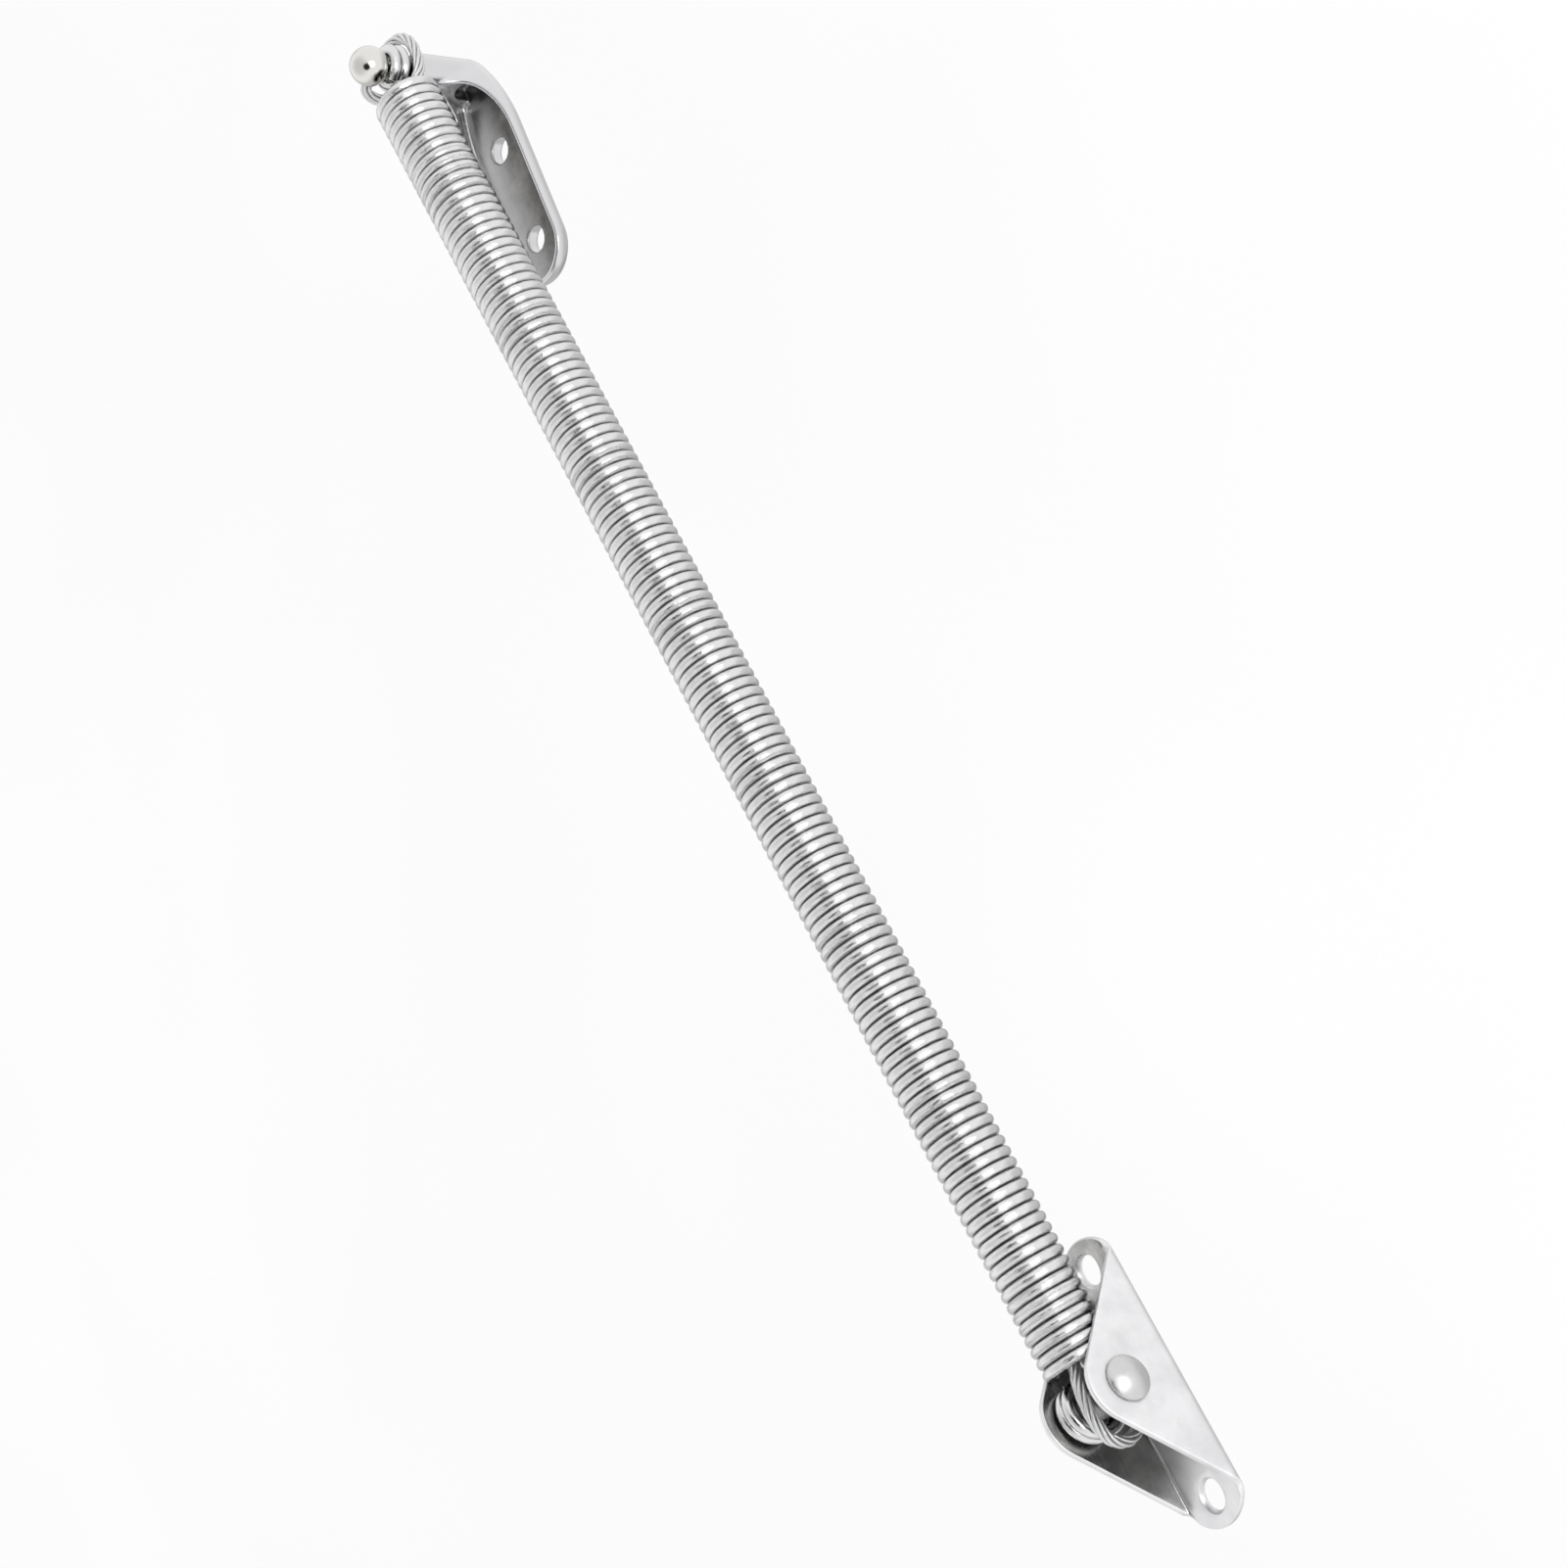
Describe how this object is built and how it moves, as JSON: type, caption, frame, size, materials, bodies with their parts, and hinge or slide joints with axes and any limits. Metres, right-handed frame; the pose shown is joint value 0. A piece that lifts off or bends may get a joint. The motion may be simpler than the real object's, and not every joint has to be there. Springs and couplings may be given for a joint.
{
  "type": "spring hatch stay",
  "caption": "Close-wound spring stay with a wire rope inside, hinged in a riveted clevis bracket at one end and on a ball-headed stud bracket at the other.",
  "frame": {"origin": "centre of the clevis bracket's mounting face, between its two screw holes", "axes": "+X along the clevis bracket towards the spring, +Y along the rivet, +Z out of the mounting face towards the rivet"},
  "size_m": [0.2454, 0.0329, 0.0307],
  "materials": {
    "spring_wire": "polished drawn stainless wire",
    "rope": "stranded stainless wire rope",
    "ferrule": "crimped satin stainless sleeve",
    "sheet": "bright pressed stainless sheet with a fine grain",
    "casting": "tumbled stainless casting, polished outside and mottled inside the dish",
    "polished": "mirror polished stainless"
  },
  "bodies": {
    "clevis": {"clevis_bracket": "sheet", "clevis_rivet": "polished"},
    "spring_1": {"spring_coils_1": "spring_wire", "lower_eye": "spring_wire", "lower_rope_loop": "rope", "lower_ferrule": "ferrule"},
    "spring_2": {"spring_coils_2": "spring_wire", "wire_rope_2": "rope"},
    "spring_3": {"spring_coils_3": "spring_wire", "wire_rope_3": "rope"},
    "spring_4": {"spring_coils_4": "spring_wire", "wire_rope_4": "rope"},
    "spring_5": {"spring_coils_5": "spring_wire", "wire_rope_5": "rope"},
    "spring_6": {"spring_coils_6": "spring_wire", "wire_rope_6": "rope"},
    "spring_7": {"spring_coils_7": "spring_wire", "wire_rope_7": "rope"},
    "spring_8": {"spring_coils_8": "spring_wire"},
    "upper_end": {"upper_eye": "spring_wire", "upper_rope_loop": "rope", "upper_ferrule": "ferrule"},
    "stud": {"stud_bracket": "casting", "ball_stud": "polished"}
  },
  "joints": [
    {"name": "rivet_pivot", "type": "hinge", "parent": "clevis", "child": "spring_1", "pos_m": [0, 0, 0.00895], "axis": [0, -1, 0], "range_deg": [-4.5, 170]},
    {"name": "flex_1", "type": "hinge", "parent": "spring_1", "child": "spring_2", "pos_m": [0.03176, -0.00248, 0.01643], "axis": [-0.0958, -0.9954, 0], "range_deg": [0, 17]},
    {"name": "flex_2", "type": "hinge", "parent": "spring_2", "child": "spring_3", "pos_m": [0.05718, -0.00493, 0.01817], "axis": [-0.0958, -0.9954, 0], "range_deg": [0, 17]},
    {"name": "flex_3", "type": "hinge", "parent": "spring_3", "child": "spring_4", "pos_m": [0.08261, -0.00737, 0.01991], "axis": [-0.0958, -0.9954, 0], "range_deg": [0, 17]},
    {"name": "flex_4", "type": "hinge", "parent": "spring_4", "child": "spring_5", "pos_m": [0.10803, -0.00982, 0.02165], "axis": [-0.0958, -0.9954, 0], "range_deg": [0, 17]},
    {"name": "flex_5", "type": "hinge", "parent": "spring_5", "child": "spring_6", "pos_m": [0.13345, -0.01227, 0.02339], "axis": [-0.0958, -0.9954, 0], "range_deg": [0, 17]},
    {"name": "flex_6", "type": "hinge", "parent": "spring_6", "child": "spring_7", "pos_m": [0.15888, -0.01472, 0.02513], "axis": [-0.0958, -0.9954, 0], "range_deg": [0, 17]},
    {"name": "flex_7", "type": "hinge", "parent": "spring_7", "child": "spring_8", "pos_m": [0.1843, -0.01717, 0.02687], "axis": [-0.0958, -0.9954, 0], "range_deg": [0, 17]},
    {"name": "spring_twist", "type": "hinge", "parent": "spring_8", "child": "upper_end", "pos_m": [0.19657, -0.01835, 0.02241], "axis": [0.9931, -0.0956, 0.068], "range_deg": [-45, 45]},
    {"name": "stud_pivot", "type": "hinge", "parent": "upper_end", "child": "stud", "pos_m": [0.21895, -0.0205, 0.02294], "axis": [0.0088, -0.1332, 0.9911], "continuous": true}
  ],
  "couplings": [
    {"joint": "flex_2", "follows": "flex_1", "ratio": 1},
    {"joint": "flex_3", "follows": "flex_1", "ratio": 1},
    {"joint": "flex_4", "follows": "flex_1", "ratio": 1},
    {"joint": "flex_5", "follows": "flex_1", "ratio": 1},
    {"joint": "flex_6", "follows": "flex_1", "ratio": 1},
    {"joint": "flex_7", "follows": "flex_1", "ratio": 1}
  ]
}
